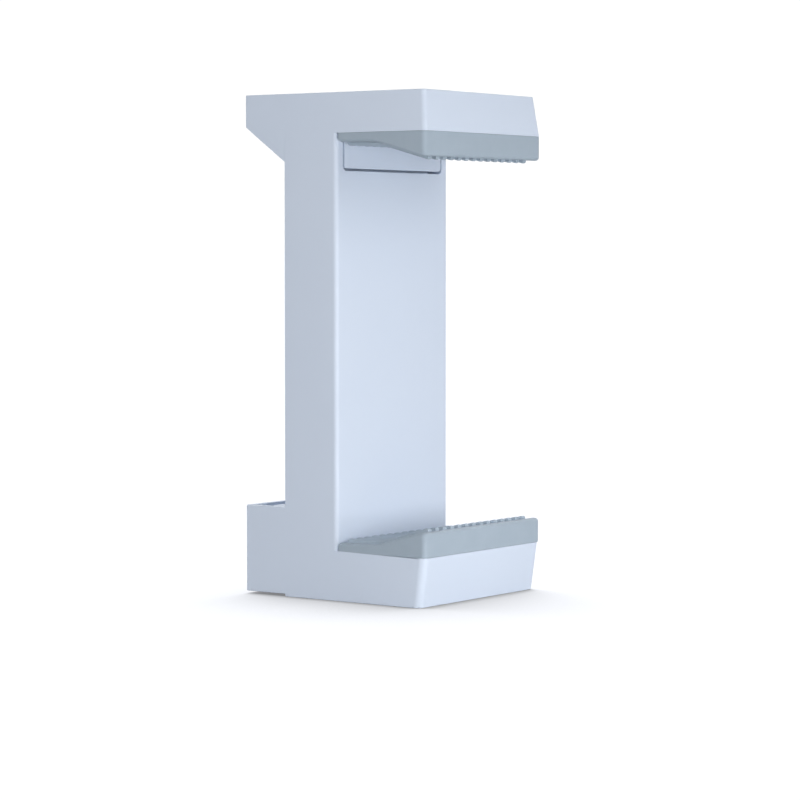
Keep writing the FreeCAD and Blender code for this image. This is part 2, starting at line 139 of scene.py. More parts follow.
def linear(colour: str) -> tuple[float, float, float, float]:
    """Turn an sRGB hex colour to linear.

    Args:
        colour: six hex digits after a #.

    Returns:
        Red, green, blue and an alpha of one.
    """
    shares = [int(colour[i : i + 2], 16) / 255 for i in (1, 3, 5)]
    red, green, blue = (s / 12.92 if s <= 0.04045 else ((s + 0.055) / 1.055) ** 2.4 for s in shares)
    return red, green, blue, 1.0


def per_metre(size: float) -> float:
    """A texture's scale for a pattern whose features measure this many millimetres."""
    return 1 / (size * MM)


def add_node(tree: bpy.types.NodeTree, kind: str, feeds: dict | None = None, **settings: object) -> bpy.types.Node:
    """Add one node to a tree.

    Args:
        tree: the node tree.
        kind: the node's class, such as ShaderNodeTexNoise.
        feeds: input name or number to the output socket that feeds it.
        settings: the node's own properties, or its inputs' names with underscores for spaces, to their values.

    Returns:
        The new node.
    """
    node = tree.nodes.new(kind)
    for name, value in settings.items():
        if hasattr(node, name):
            setattr(node, name, value)
        else:
            node.inputs[name.replace("_", " ")].default_value = value
    for name, output in (feeds or {}).items():
        tree.links.new(output, node.inputs[name])
    return node


def deselect_all() -> None:
    """Leave nothing selected, in object mode, so that the next operator acts on its own piece alone."""
    if bpy.context.object and bpy.context.object.mode != "OBJECT":
        bpy.ops.object.mode_set(mode="OBJECT")
    bpy.ops.object.select_all(action="DESELECT")


def select(*objects: bpy.types.Object) -> None:
    """Select these objects alone, and make the first one active.

    Args:
        objects: what is selected.
    """
    deselect_all()
    for obj in objects:
        obj.select_set(True)
    bpy.context.view_layer.objects.active = objects[0]


def settle(obj: bpy.types.Object) -> None:
    """Move an object's place, turn and scale into its mesh."""
    select(obj)
    bpy.ops.object.transform_apply(location=True, rotation=True, scale=True)


def add_block(name: str, low: Vector, high: Vector) -> bpy.types.Object:
    """Add a cube primitive, as large as the box between two corners.

    Args:
        name: the object's name.
        low: one corner, in metres.
        high: the corner across from it.

    Returns:
        The new object, settled at the origin.
    """
    deselect_all()
    bpy.ops.mesh.primitive_cube_add(size=1, location=(low + high) / 2)
    block = bpy.context.object
    block.name = block.data.name = name
    block.scale = [abs(b - a) for a, b in zip(low, high)]
    settle(block)
    return block


def modify(obj: bpy.types.Object, kind: str, **settings: object) -> None:
    """Give an object one modifier and apply it.

    Args:
        obj: the object.
        kind: the modifier's type.
        settings: the modifier's properties.
    """
    select(obj)
    modifier = obj.modifiers.new(kind.title(), kind)
    for name, value in settings.items():
        setattr(modifier, name, value)
    bpy.ops.object.modifier_apply(modifier=modifier.name)


def smooth(obj: bpy.types.Object, angle: float = 32.0) -> None:
    """Shade an object smooth, and keep its flat faces flat.

    Args:
        obj: the object.
        angle: edges that bend by more degrees than this stay sharp.
    """
    select(obj)
    bpy.ops.object.shade_smooth_by_angle(angle=math.radians(angle), keep_sharp_edges=False)
    modify(obj, "WEIGHTED_NORMAL", keep_sharp=True, weight=80)


def join(first: bpy.types.Object, *others: bpy.types.Object) -> bpy.types.Object:
    """Join several objects.

    Args:
        first: the object that takes the others in.
        others: the objects that end in it.

    Returns:
        The first object.
    """
    select(first, *others)
    bpy.ops.object.join()
    return first


class Bench:
    """An object held in edit mode, with its parts picked in code."""

    def __init__(self, obj: bpy.types.Object) -> None:
        """Hold this object."""
        self.obj = obj

    def __enter__(self) -> "Bench":
        """Go to edit mode with everything selected.

        Returns:
            The bench.
        """
        select(self.obj)
        bpy.ops.object.mode_set(mode="EDIT")
        bpy.ops.mesh.select_all(action="SELECT")
        return self

    def __exit__(self, *_: object) -> None:
        """Go back to object mode."""
        bpy.ops.object.mode_set(mode="OBJECT")

    def pick(self, part: Part, test: Callable[[object], bool]) -> int:
        """Select the parts that pass a test, and nothing else.

        Args:
            part: what to pick.
            test: takes a vertex, edge or face.

        Returns:
            How many were picked.
        """
        bpy.ops.mesh.select_mode(type=part.value)
        bpy.ops.mesh.select_all(action="DESELECT")
        mesh = bmesh.from_edit_mesh(self.obj.data)
        mesh.normal_update()
        found = {Part.VERTICES: mesh.verts, Part.EDGES: mesh.edges, Part.FACES: mesh.faces}[part]
        picked = [item for item in found if test(item)]
        for item in picked:
            item.select_set(True)
        bmesh.update_edit_mesh(self.obj.data)
        return len(picked)

    def cut(self, point: Vector, normal: Sequence[float], clear: bool = False) -> None:
        """Cut through everything with a plane.

        Args:
            point: a point on the plane.
            normal: the plane's direction.
            clear: whether what lies on the normal's side goes, and the cut is closed.
        """
        bpy.ops.mesh.select_all(action="SELECT")
        bpy.ops.mesh.bisect(plane_co=point, plane_no=Vector(normal).normalized(), use_fill=clear,
                            clear_outer=clear, threshold=1e-7)

    def move(self, x: float = 0.0, y: float = 0.0, z: float = 0.0) -> None:
        """Move what is picked by these millimetres."""
        bpy.ops.transform.translate(value=Vector((x, y, z)) * MM)

    def soften(self, radius: float, steps: int, test: Callable[[object], bool], clamp: bool = True) -> None:
        """Round the edges that pass a test.

        Args:
            radius: how far the rounding reaches, in millimetres.
            steps: faces across the rounding.
            test: takes an edge.
            clamp: whether neighbours' space limits the rounding.
        """
        if self.pick(Part.EDGES, test):
            bpy.ops.mesh.bevel(offset=radius * MM, segments=steps, affect="EDGES", clamp_overlap=clamp)


def middle(edge: object) -> Vector:
    """Find the middle point of an edge, in metres."""
    return (edge.verts[0].co + edge.verts[1].co) / 2


def band(half: float, depths: tuple[float, float], heights: tuple[float, float]) -> tuple[Vector, Vector]:
    """Turn millimetres to the box that reaches as far to the left as to the right.

    Args:
        half: half its width.
        depths: where it starts and ends behind the column's front face.
        heights: where it starts and ends above the bottom face.

    Returns:
        Its lowest and highest corners in metres.
    """
    return place(-half, depths[0], heights[0]), place(half, depths[1], heights[1])


def inside(point: Vector, low: Vector, high: Vector) -> bool:
    """Tell whether a point lies in the box between two corners."""
    return all(a <= c <= b for a, c, b in zip(low, point, high))


def bend(edge: object) -> float:
    """Measure the angle between an edge's two faces in degrees, or none where it has not two."""
    return math.degrees(edge.calc_face_angle(0.0))


def runs(edge: object, axis: int) -> bool:
    """Tell whether an edge runs along this axis."""
    along = (edge.verts[1].co - edge.verts[0].co).normalized()
    return abs(along[axis]) > ALONG


# Finishes


@dataclass(frozen=True)
class Moulded:
    """A moulded plastic: a little cloudy in tone, with its mould's fine texture in relief and in its shine."""

    name: str
    tint: str
    shade: str
    ior: float
    cloud: float
    """Size of the cloudy patches, in millimetres."""
    cloud_detail: float
    grain: float
    """Size of the mould's texture, in millimetres."""
    grain_detail: float
    roughness: tuple[float, float]
    relief: float
    """Height of the texture, in millimetres."""
    strength: float
    sheen: float = 0.0

    def material(self) -> bpy.types.Material:
        """Make the material.

        Returns:
            The material.
        """
        made, tree, shader = new_material(self.name)
        where = add_node(tree, "ShaderNodeTexCoord").outputs["Object"]
        cloud = add_node(tree, "ShaderNodeTexNoise", {"Vector": where},
                         Scale=per_metre(self.cloud), Detail=self.cloud_detail)
        grain = add_node(tree, "ShaderNodeTexNoise", {"Vector": where},
                         Scale=per_metre(self.grain), Detail=self.grain_detail)
        shader.inputs["IOR"].default_value = self.ior
        shader.inputs["Sheen Weight"].default_value = self.sheen
        texture(tree, shader, (cloud, grain), (self.shade, self.tint), self.roughness, self.strength, self.relief)
        return made


@dataclass(frozen=True)
class MouldedAbs(Moulded):
    """Cool white ABS from a fine-blasted mould: matte, with an even grain and soft highlights on its edges."""

    name: str = "moulded_white_abs"
    tint: str = "#D8E3F3"
    shade: str = "#D5E0F1"
    ior: float = 1.54
    cloud: float = 14
    cloud_detail: float = 2.0
    grain: float = 0.35
    """Blasting leaves a grain of typically 0.05 mm. It is drawn coarser, so that it can show."""
    grain_detail: float = 3.0
    roughness: tuple[float, float] = (0.42, 0.52)
    relief: float = 0.02
    strength: float = 0.12


@dataclass(frozen=True)
class MouldedRubber(Moulded):
    """Grey thermoplastic rubber from a spark-eroded mould: dull, a little cloudy, with a fine even tooth."""

    name: str = "moulded_grey_rubber"
    tint: str = "#A8B6C3"
    shade: str = "#9FAEBC"
    ior: float = 1.5
    cloud: float = 3
    cloud_detail: float = 4.0
    grain: float = 0.25
    """Spark erosion leaves a tooth of typically 0.05 mm. It is drawn coarser, so that it can show."""
    grain_detail: float = 4.0
    roughness: tuple[float, float] = (0.55, 0.72)
    relief: float = 0.03
    strength: float = 0.25
    sheen: float = 0.08


@dataclass(frozen=True)
class Metal:
    """A bare or plated metal, with the fine marks that its making left."""

    name: str
    tint: str
    shade: str
    roughness: float
    line: float
    """Spacing of the marks, in millimetres. Real ones lie typically 0.05 mm apart, and these are drawn coarser, so that
    they can show."""
    density: tuple[float, float, float]
    """How closely the marks are packed along each axis: less than 1 draws them out."""
    spread: float = 0.06
    """How far the roughness strays to both sides."""
    relief: float = 0.01
    strength: float = 0.2

    def material(self) -> bpy.types.Material:
        """Make the material.

        Returns:
            The material.
        """
        made, tree, shader = new_material(self.name)
        where = add_node(tree, "ShaderNodeTexCoord").outputs["Object"]
        packed = add_node(tree, "ShaderNodeMapping", {"Vector": where}, Scale=self.density)
        lines = add_node(tree, "ShaderNodeTexNoise", {"Vector": packed.outputs["Vector"]},
                         Scale=per_metre(self.line), Detail=3.0)
        shader.inputs["Metallic"].default_value = 1.0
        roughness = (self.roughness - self.spread, self.roughness + self.spread)
        texture(tree, shader, (lines, lines), (self.shade, self.tint), roughness, self.strength, self.relief)
        return made


def new_material(name: str) -> tuple[bpy.types.Material, bpy.types.NodeTree, bpy.types.Node]:
    """Make an empty material with a Principled shader.

    Args:
        name: the material's name.

    Returns:
        The material, its tree and the shader.
    """
    made = bpy.data.materials.new(name)
    made.use_nodes = True
    tree = made.node_tree
    tree.nodes.clear()
    shader = add_node(tree, "ShaderNodeBsdfPrincipled")
    add_node(tree, "ShaderNodeOutputMaterial", {"Surface": shader.outputs["BSDF"]})
    return made, tree, shader


def texture(tree: bpy.types.NodeTree, shader: bpy.types.Node, noises: tuple[bpy.types.Node, bpy.types.Node],
            tones: tuple[str, str], roughness: tuple[float, float], strength: float, relief: float) -> None:
    """Let one noise vary a shader's colour, and another one its shine and its relief.

    Args:
        tree: the material's tree.
        shader: the shader.
        noises: the noise for the colour, and the one for the shine and the relief.
        tones: the darkest and the lightest colour.
        roughness: the least and the most.
        strength: share of the relief that shows.
        relief: its height, in millimetres.
    """
    broad, fine = (noise.outputs["Fac"] for noise in noises)
    tone = add_node(tree, "ShaderNodeValToRGB", {"Fac": broad})
    for stop, colour in zip(tone.color_ramp.elements, tones):
        stop.color = linear(colour)
    shine = add_node(tree, "ShaderNodeMapRange", {"Value": fine}, To_Min=roughness[0], To_Max=roughness[1])
    bump = add_node(tree, "ShaderNodeBump", {"Height": fine}, Strength=strength, Distance=relief * MM)
    tree.links.new(tone.outputs["Color"], shader.inputs["Base Color"])
    tree.links.new(shine.outputs["Result"], shader.inputs["Roughness"])
    tree.links.new(bump.outputs["Normal"], shader.inputs["Normal"])


# Turned and headed steel, zinc plated: an even, faintly cloudy grey with a soft shine.
ZINC_STEEL = Metal("zinc_plated_steel", "#C9CCD0", "#B4B8BD", 0.3, 0.4, (1.0, 1.0, 1.0))
# Steel wire drawn through a die, which leaves lines along it: long thin streaks of shine. They run up the spring here.
DRAWN_WIRE = Metal("drawn_spring_steel", "#A7A9AC", "#8B8D91", 0.28, 0.3, (1.0, 1.0, 0.3))
# Brass turned on a lathe, which leaves rings round its axis: a warm shine broken by fine bands. They lie level here.
TURNED_BRASS = Metal("turned_brass", "#D6B36A", "#C29C50", 0.24, 0.3, (1.0, 1.0, 4.0))


@dataclass
class Palette:
    """The finishes as materials, each made once."""

    made: dict[Slot, bpy.types.Material] = field(default_factory=dict)

    def __post_init__(self) -> None:
        """Make every material."""
        self.made = {
            Slot.PLASTIC: MouldedAbs().material(),
            Slot.RUBBER: MouldedRubber().material(),
            Slot.STEEL: ZINC_STEEL.material(),
            Slot.SPRING: DRAWN_WIRE.material(),
            Slot.BRASS: TURNED_BRASS.material(),
        }

    def dress(self, obj: bpy.types.Object, slot: Slot) -> None:
        """Give an object one finish.

        Args:
            obj: the object.
            slot: the finish.
        """
        obj.data.materials.clear()
        obj.data.materials.append(self.made[slot])
        for face in obj.data.polygons:
            face.material_index = 0


def hand_over(obj: bpy.types.Object, slot: Slot, body: Body, palette: Palette, *nodes: str) -> None:
    """Dress a finished piece, let it ride on its body and stand for its CAD nodes.

    Args:
        obj: the piece.
        slot: its finish.
        body: the CAD body that it rides on.
        palette: the materials.
        nodes: the CAD nodes that it replaces.
    """
    palette.dress(obj, slot)
    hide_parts(*nodes)
    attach(obj, body.value)
    log.info("%s: %d faces, rides on %s", obj.name, len(obj.data.polygons), body.value)


# Moulded shells and turned metal


@dataclass
class SoftenedNode:
    """A CAD node whose shape is right, copied so that its sharp edges can get the small radius of the real part."""

    node: str
    name: str
    body: Body
    slot: Slot
    radius: float
    steps: int = 2
    sharp: float = 30.0
    crisp: tuple[tuple[Vector, Vector], ...] = ()
    """Boxes in which edges stay crisp, as at a tight seam or a step too low for two roundings."""
    cuts: tuple[float, ...] = ()
    """Heights at which long edges are divided, so that a seam's share of them can stay crisp."""
    nudge: tuple[Vector, Vector, float] | None = None
    """A box whose points move along Y by so many millimetres, to close a running clearance that the eye would see."""

    def build(self, frame: dict, palette: Palette) -> None:
        """Make the piece.

        Args:
            palette: the materials.
        """
        shell = bpy.data.objects.new(self.name, frame["nodes"][self.node].data.copy())
        shell.data.name = self.name
        bpy.context.scene.collection.objects.link(shell)
        select(shell)
        bpy.ops.mesh.customdata_custom_splitnormals_clear()
        with Bench(shell) as bench:
            bpy.ops.mesh.remove_doubles(threshold=MERGE)
            bpy.ops.mesh.select_all(action="SELECT")
            bpy.ops.mesh.dissolve_limited(angle_limit=math.radians(FLAT))
            for height in self.cuts:
                bench.cut(place(0, 0, height), (0, 0, 1))
            if self.nudge:
                low, high, step = self.nudge
                if bench.pick(Part.VERTICES, lambda v: inside(v.co, low, high)):
                    bench.move(y=step)
            bench.soften(self.radius, self.steps, lambda edge: bend(edge) > self.sharp
                         and not any(inside(middle(edge), low, high) for low, high in self.crisp), clamp=False)
        smooth(shell)
        hand_over(shell, self.slot, self.body, palette, self.node)


# Rubber pads


@dataclass
class RibbedPad:
    """A moulded rubber pad: a thin plateau, a ramp and a lip, with ribs that run from back to front."""

    node: str
    name: str
    body: Body
    seat: float
    away: int
    """1 where the pad stands up from its seat, and -1 where it hangs down."""
    rear: float = 0.3
    reach: float = 17.4
    half_front: float = 16.75
    flare: tuple[float, float] = (2.15, 36.25)
    """How far the sides lean in, and over what depth."""
    plateau: float = 1.45
    profile: tuple[tuple[float, float], ...] = (
        (6.9, 0.0), (7.3, 0.03), (7.7, 0.11), (8.1, 0.22), (15.8, 2.34), (16.2, 2.42), (16.5, 2.45))
    """Depth in front of the column and rise over the plateau, from the ramp's foot to the lip."""
    corner: float = 0.8
    crest: float = 0.5
    seat_round: float = 0.12
    side_band: float = 1.2
    """Edges this near to the sides' widest place are the pad's outer ones."""
    front_band: float = 0.9
    """Edges this near to the front are the pad's outer ones."""
    steps: tuple[int, int, int] = (6, 3, 2)
    """Faces across the rounded corners, the crest and the edge on the seat."""
    spare: float = 0.5
    """What the slab has over on each side, before its sides are cut."""
    sharp: float = 38.0
    """Edges that bend by more degrees than this stay sharp."""
    rib_count: int = 14
    rib_pitch: float = 2.1
    rib_width: float = 1.0
    rib_height: float = 0.55
    rib_ends: tuple[float, float] = (1.0, 16.2)
    rib_crown: float = 0.3
    crown_steps: int = 3
    plug_sides: tuple[float, float] = (1.05, 13.5)
    plug_ends: tuple[float, float] = (2.35, 15.05)
    plug_depth: float = 1.5

    def off_seat(self, point: Vector) -> float:
        """Measure how far a point stands off the seat, in millimetres."""
        return (point.z / MM - self.seat) * self.away

    def depth(self, point: Vector) -> float:
        """Measure how far a point lies in front of the column, in millimetres."""
        return -point.y / MM - COLUMN_FRONT

    def centres(self) -> list[float]:
        """List the ribs' places across the pad."""
        return [(number - (self.rib_count - 1) / 2) * self.rib_pitch for number in range(self.rib_count)]

    def shape_slab(self, bench: Bench) -> None:
        """Raise the ramp and the lip out of a flat slab, and cut its sides to the clip's flare.

        Args:
            bench: the slab, in edit mode.
        """
        for depth, _rise in self.profile:
            bench.cut(place(0, -depth, 0), (0, 1, 0))
        upper = self.plateau / 2
        lip = self.profile[-1][1]
        for depth, rise in self.profile + ((self.reach, lip),):
            bench.pick(Part.VERTICES, lambda v: self.off_seat(v.co) > upper and abs(self.depth(v.co) - depth) < CLOSE)
            bench.move(z=self.away * rise)
        lean, length = self.flare
        for side in (-1, 1):
            bench.cut(place(side * self.half_front, -self.reach, 0), (side * length, lean, 0), clear=True)

    def shape_ribs(self, bench: Bench) -> None:
        """Extrude the ribs from strips of the plateau, the ramp and the lip.

        Args:
            bench: the pad, in edit mode.
        """
        rear, front = self.rib_ends
        half = self.rib_width / 2
        for depth in self.rib_ends:
            bench.cut(place(0, -depth, 0), (0, 1, 0))
        for centre in self.centres():
            for edge in (centre - half, centre + half):
                bench.cut(place(edge, 0, 0), (1, 0, 0))

        def strip(face: object) -> bool:
            """Tell whether a face is part of a rib's strip."""
            middle_point = face.calc_center_median()
            return (face.normal.z * self.away > FLANK and rear < self.depth(middle_point) < front
                    and min(abs(middle_point.x / MM - centre) for centre in self.centres()) < half)

        bench.pick(Part.FACES, strip)
        bpy.ops.mesh.extrude_region()
        bench.move(z=self.away * self.rib_height)
        bpy.ops.mesh.region_to_loop()
        bpy.ops.mesh.bevel(offset=self.rib_crown * MM, segments=self.crown_steps, affect="EDGES", clamp_overlap=True)

    def shape_plugs(self, bench: Bench) -> None:
        """Extrude the two plugs that lock the pad in its jaw from its seat side.

        Args:
            bench: the pad, in edit mode.
        """
        inner, outer = self.plug_sides
        back, front = self.plug_ends
        for side in (-1, 1):
            for edge in self.plug_sides:
                bench.cut(place(side * edge, 0, 0), (1, 0, 0))
        for depth in self.plug_ends:
            bench.cut(place(0, -depth, 0), (0, 1, 0))

        def plug(face: object) -> bool:
            """Tell whether a face is part of a plug's root."""
            middle_point = face.calc_center_median()
            return (abs(self.off_seat(middle_point)) < CLOSE and inner < abs(middle_point.x / MM) < outer
                    and back < self.depth(middle_point) < front)

        bench.pick(Part.FACES, plug)
        bpy.ops.mesh.extrude_region()
        bench.move(z=-self.away * self.plug_depth)

    def round_off(self, bench: Bench) -> None:
        """Round the pad's upright front corners, its crest and the edge on its seat.

        Args:
            bench: the pad, in edit mode.
        """
        def outer(edge: object) -> bool:
            """Tell whether an edge lies at the pad's sides or its front."""
            point = middle(edge)
            return (abs(point.x) / MM > self.half_front - self.side_band
                    or self.depth(point) > self.reach - self.front_band)

        def corner(edge: object) -> bool:
            """Tell whether an edge is one of the upright front corners."""
            point = middle(edge)
            return (runs(edge, 2) and abs(self.depth(point) - self.reach) < CLOSE
                    and abs(point.x) / MM > self.half_front - 0.1)

        def rim(edge: object) -> bool:
            """Tell whether an edge lies round the pad's upper face."""
            rear = self.depth(middle(edge)) < self.rear + CLOSE
            return bend(edge) > SHARP and (outer(edge) or rear) and all(self.off_seat(v.co) > 1.0 for v in edge.verts)

        def foot(edge: object) -> bool:
            """Tell whether an edge lies round the pad's seat, and not at its rear."""
            return bend(edge) > SHARP and outer(edge) and all(abs(self.off_seat(v.co)) < CLOSE for v in edge.verts)

        corner_steps, crest_steps, foot_steps = self.steps
        bench.soften(self.corner, corner_steps, corner)
        bench.soften(self.crest, crest_steps, rim, clamp=False)
        bench.soften(self.seat_round, foot_steps, foot)

    def build(self, palette: Palette) -> None:
        """Make the pad in one piece from one slab.

        Args:
            palette: the materials.
        """
        wide = self.half_front + self.spare
        pad = add_block(self.name, place(-wide, -self.reach, self.seat),
                        place(wide, -self.rear, self.seat + self.away * self.plateau))
        with Bench(pad) as bench:
            self.shape_slab(bench)
            self.round_off(bench)
            self.shape_ribs(bench)
            self.shape_plugs(bench)
        smooth(pad, self.sharp)
        hand_over(pad, Slot.RUBBER, self.body, palette, self.node)


# Inserts and springs


@dataclass
class ThreadedInsert:
    """A turned brass insert for a quarter-inch tripod screw, with its thread's turns inside."""

    node: str
    name: str
    mouth: Vector
    rearward: bool = False
    radius: float = 4.18
    bore: float = 3.18
    thread: float = 2.62
    length: float = 8.0
    chamfer: float = 0.45
    lip: float = 0.12
    """The small outer chamfer round the mouth."""
    pitch: float = 1.27
    root: float = 0.45
    """Half the width of a turn at its root, as a share of the pitch."""
    crest: float = 0.08
    """Half the width of a turn at its crest, as a share of the pitch."""
    sink: float = 0.05
    """How far the turns' root lies in the wall of the bore."""
    turn_count: int = 9
    run_out: float = 0.3
    """What stays plain at the bore's inner end."""
    around: int = 48

    def build(self, palette: Palette) -> None:
        """Make the insert upright with its mouth at zero, then turn it to its place.

        Args:
            palette: the materials.
        """
        deselect_all()
        bpy.ops.mesh.primitive_circle_add(vertices=self.around, radius=self.radius * MM, fill_type="NOTHING")
        insert = bpy.context.object
        insert.name = insert.data.name = self.name
        lip = self.lip
        rings = (
            (self.radius, lip), (self.radius, self.length), (self.bore, self.length), (self.bore, self.chamfer),
            (self.bore + self.chamfer, 0.0), (self.radius - lip, 0.0),
        )
        with Bench(insert) as bench:
            bench.move(z=lip)
            reached = (self.radius, lip)
            for radius, height in rings[1:] + rings[:1]:
                bpy.ops.mesh.extrude_edges_move()
                share = radius / reached[0]
                bpy.ops.transform.resize(value=(share, share, 1), center_override=(0, 0, 0))
                bench.move(z=height - reached[1])
                reached = (radius, height)
            bpy.ops.mesh.select_all(action="SELECT")
            bpy.ops.mesh.remove_doubles(threshold=MERGE)
            bpy.ops.mesh.normals_make_consistent(inside=False)
        insert = join(insert, self.turns())
        smooth(insert)
        if self.rearward:
            insert.rotation_euler.x = math.radians(90)
        insert.location = self.mouth
        settle(insert)
        hand_over(insert, Slot.BRASS, Body.HOUSING, palette, self.node)

    def turns(self) -> bpy.types.Object:
        """Shape the thread as one ridge that winds up the bore.

        Returns:
            The ridge.
        """
        deselect_all()
        bpy.ops.mesh.primitive_circle_add(vertices=4, radius=1, fill_type="NOTHING")
        ridge = bpy.context.object
        ridge.name = self.name + "_thread"
        half_root, half_crest = self.pitch * self.root, self.pitch * self.crest
        profile = ((self.bore + self.sink, -half_root), (self.thread, -half_crest),
                   (self.thread, half_crest), (self.bore + self.sink, half_root))
        for vertex, (radius, height) in zip(ridge.data.vertices, profile):
            vertex.co = Vector((radius, 0, height - self.pitch)) * MM
        modify(ridge, "SCREW", angle=2 * math.pi, screw_offset=self.pitch * MM, iterations=self.turn_count,
               steps=self.around, render_steps=self.around, axis="Z")
        with Bench(ridge) as bench:
            bench.cut(Vector((0, 0, self.chamfer * MM)), (0, 0, -1), clear=True)
            bench.cut(Vector((0, 0, (self.length - self.run_out) * MM)), (0, 0, 1), clear=True)
            bpy.ops.mesh.select_all(action="SELECT")
            bpy.ops.mesh.normals_make_consistent(inside=False)
        return ridge


@dataclass
class ExtensionSpring:
    """An extension spring, already stretched in the closed clip, with a half-round hook over the pin at each end."""

    node: str
    name: str
    across: float
    depth: float = 5.5
    radius: float = 1.9
    wire: float = 0.3
    low_hook: float = 24.58
    high_hook: float = 64.42
    leg: float = 1.2
    turns: int = 20
    steps: int = 20
    wire_sides: int = 10
    hook_steps: int = 14
    sharp: float = 60.0

    def build(self, palette: Palette) -> None:
        """Make the spring: the coil, then a leg and a hook at each end.

        Args:
            palette: the materials.
        """
        foot, top = self.low_hook + self.leg, self.high_hook - self.leg
        coil = self.wire_ring("XZ", foot)
        coil.name = coil.data.name = self.name
        modify(coil, "SCREW", angle=2 * math.pi, screw_offset=(top - foot) / self.turns * MM,
               iterations=self.turns, steps=self.steps, render_steps=self.steps, axis="Z")
        spring = join(coil, self.hook(self.low_hook, -1), self.hook(self.high_hook, 1))
        with Bench(spring):
            bpy.ops.mesh.fill_holes(sides=self.wire_sides + 2)
            bpy.ops.mesh.select_all(action="SELECT")
            bpy.ops.mesh.normals_make_consistent(inside=False)
        spring.rotation_euler.z = math.radians(90)
        spring.location = place(self.across, self.depth, 0)
        settle(spring)
        smooth(spring, self.sharp)
        palette.dress(spring, Slot.SPRING)
        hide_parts(self.node)
        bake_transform(spring)
        log.info("%s: %d faces, stretches between the bodies", spring.name, len(spring.data.polygons))

    def wire_ring(self, plane: str, height: float) -> bpy.types.Object:
        """Add the wire's cross-section.

        Args:
            plane: XZ for a ring across the coil's first turn, or XY for one across a leg.
            height: its height, in millimetres.

        Returns:
            The ring.
        """
        deselect_all()
        turn = (math.radians(90), 0, 0) if plane == "XZ" else (0, 0, 0)
        bpy.ops.mesh.primitive_circle_add(vertices=self.wire_sides, radius=self.wire * MM, fill_type="NOTHING",
                                          location=Vector((self.radius, 0, height)) * MM, rotation=turn)
        ring = bpy.context.object
        settle(ring)
        return ring

    def hook(self, centre: float, outwards: int) -> bpy.types.Object:
        """Shape a leg and the half-round hook that it bends into.

        Args:
            centre: height of the hook's middle.
            outwards: 1 for the upper end, and -1 for the lower one.

        Returns:
            The hook.
        """
        ring = self.wire_ring("XY", centre - outwards * self.leg)
        with Bench(ring) as bench:
            bpy.ops.mesh.extrude_edges_move()
            bench.move(z=outwards * self.leg)
            bpy.ops.mesh.spin(steps=self.hook_steps, angle=math.pi, center=Vector((0, 0, centre)) * MM,
                              axis=(0, outwards, 0), use_auto_merge=False)
        return ring


# Stage


@dataclass(frozen=True)
class Softbox:
    """A square softbox that the camera does not see. Its places are in metres."""

    name: str
    spot: tuple[float, float, float]
    side: float
    watts: float
    aim: tuple[float, float, float] = (0.0, 0.0, 0.04)
    """The point that it faces, which is the clip's middle where nothing else is said."""

    def build(self) -> None:
        """Set it up."""
        data = bpy.data.lights.new(self.name, "AREA")
        data.size, data.energy = self.side, self.watts
        lamp = bpy.data.objects.new(self.name, data)
        lamp.location = self.spot
        lamp.rotation_euler = (Vector(self.aim) - Vector(self.spot)).to_track_quat("-Z", "Y").to_euler()
        lamp.visible_camera = False
        bpy.context.scene.collection.objects.link(lamp)


CLIP_FOOT = (0.0, -0.02, 0.008)
SOFTBOXES = (
    Softbox("side_softbox", (-1.472, 0.259, 0.171), 1.0, 11.3),
    Softbox("front_softbox", (0.106, -0.394, 0.230), 0.3, 0.52),
    Softbox("rear_softbox", (0.318, 1.187, 0.900), 1.0, 8.0),
    Softbox("right_softbox", (1.155, 0.420, 0.900), 1.0, 7.0),
    Softbox("low_softbox", (-0.1286, -0.1732, 0.02), 0.1, 0.215, CLIP_FOOT),
    Softbox("foot_fill", (0.0, -0.12, 0.01), 0.05, 0.052, CLIP_FOOT),
)


